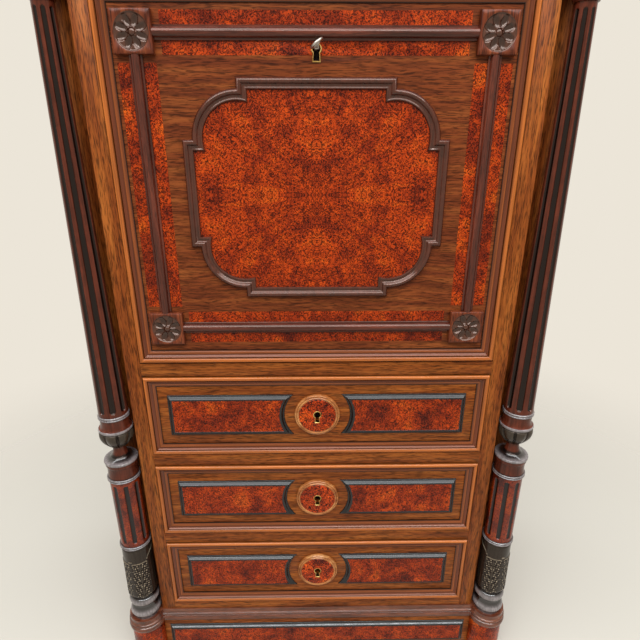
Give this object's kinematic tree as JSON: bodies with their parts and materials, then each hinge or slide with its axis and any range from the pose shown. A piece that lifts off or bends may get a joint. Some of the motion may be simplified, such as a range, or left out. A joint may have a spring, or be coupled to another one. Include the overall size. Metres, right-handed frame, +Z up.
{
  "type": "drop-front secretary",
  "caption": "Tall writing cabinet whose pivoted fall front lets down as a desk before pigeonholes, over long drawers, with turned columns at the front corners.",
  "frame": {"origin": "on the floor, under the middle of the box round the closed object", "axes": "+Z up, the front faces -Y, +X to the right seen from the front"},
  "size_m": [0.907, 0.471, 1.5142],
  "materials": {
    "rosewood": "french polish",
    "burl": "french polish",
    "ebonised": "black polish",
    "dark_wood": "polished",
    "medallion_wood": "french polish",
    "carcase_wood": "plain",
    "interior_wood": "waxed",
    "brass": "aged",
    "steel": "worn",
    "leather": "matt"
  },
  "bodies": {
    "case": {"back_panel": "carcase_wood", "base_moulding": "rosewood", "column_capitals": "dark_wood", "column_drums": "burl", "column_feet": "dark_wood", "column_shafts": "dark_wood", "corner_drums": "burl", "cornice": "rosewood", "desk_floor": "interior_wood", "drawer_guides": "carcase_wood", "drawer_rails": "rosewood", "dust_boards": "carcase_wood", "fall_fittings": "brass", "frieze": "rosewood", "pigeonholes": "interior_wood", "plinth_boards": "rosewood", "rail_fall": "rosewood", "rail_top": "rosewood", "side_left": "rosewood", "side_right": "rosewood", "stile_left": "rosewood", "stile_right": "rosewood", "strip_panel_mouldings": "ebonised", "strip_panels": "burl", "top_board": "rosewood", "wing_boards": "rosewood"},
    "fall": {"fall_burl_panel": "burl", "fall_centre_moulding": "dark_wood", "fall_corner_blocks": "dark_wood", "fall_escutcheon": "brass", "fall_leather": "leather", "fall_lock": "steel", "fall_moulding": "rosewood", "fall_panel": "rosewood", "fall_pivots": "brass", "fall_rods": "rosewood", "fall_stays": "brass"},
    "key": {"fall_key": "steel"},
    "bolt": {"fall_lock_bolt": "steel"},
    "drawer_1": {"drawer_1_box": "carcase_wood", "drawer_1_front": "rosewood", "drawer_1_lock": "brass", "drawer_1_medallion": "medallion_wood", "drawer_1_moulding": "rosewood", "drawer_1_panel_mouldings": "ebonised", "drawer_1_panels": "burl"},
    "drawer_2": {"drawer_2_box": "carcase_wood", "drawer_2_front": "rosewood", "drawer_2_lock": "brass", "drawer_2_medallion": "medallion_wood", "drawer_2_moulding": "rosewood", "drawer_2_panel_mouldings": "ebonised", "drawer_2_panels": "burl"},
    "drawer_3": {"drawer_3_box": "carcase_wood", "drawer_3_front": "rosewood", "drawer_3_lock": "brass", "drawer_3_medallion": "medallion_wood", "drawer_3_moulding": "rosewood", "drawer_3_panel_mouldings": "ebonised", "drawer_3_panels": "burl"}
  },
  "joints": [
    {"name": "fall_hinge", "type": "hinge", "parent": "case", "child": "fall", "pos_m": [0, -0.165, 0.7624], "axis": [1, 0, 0], "range_deg": [0, 90]},
    {"name": "key_turn", "type": "hinge", "parent": "fall", "child": "key", "pos_m": [0, -0.17, 1.2494], "axis": [0, -1, 0], "range_deg": [0, 90]},
    {"name": "bolt_slide", "type": "slide", "parent": "fall", "child": "bolt", "axis": [0, 0, 1], "range_m": [0, 0.01]},
    {"name": "drawer_1_slide", "type": "slide", "parent": "case", "child": "drawer_1", "axis": [0, -1, 0], "range_m": [0, 0.3]},
    {"name": "drawer_2_slide", "type": "slide", "parent": "case", "child": "drawer_2", "axis": [0, -1, 0], "range_m": [0, 0.3]},
    {"name": "drawer_3_slide", "type": "slide", "parent": "case", "child": "drawer_3", "axis": [0, -1, 0], "range_m": [0, 0.3]}
  ],
  "couplings": [
    {"joint": "key_turn", "follows": "bolt_slide", "rad_per_m": 157.07}
  ]
}
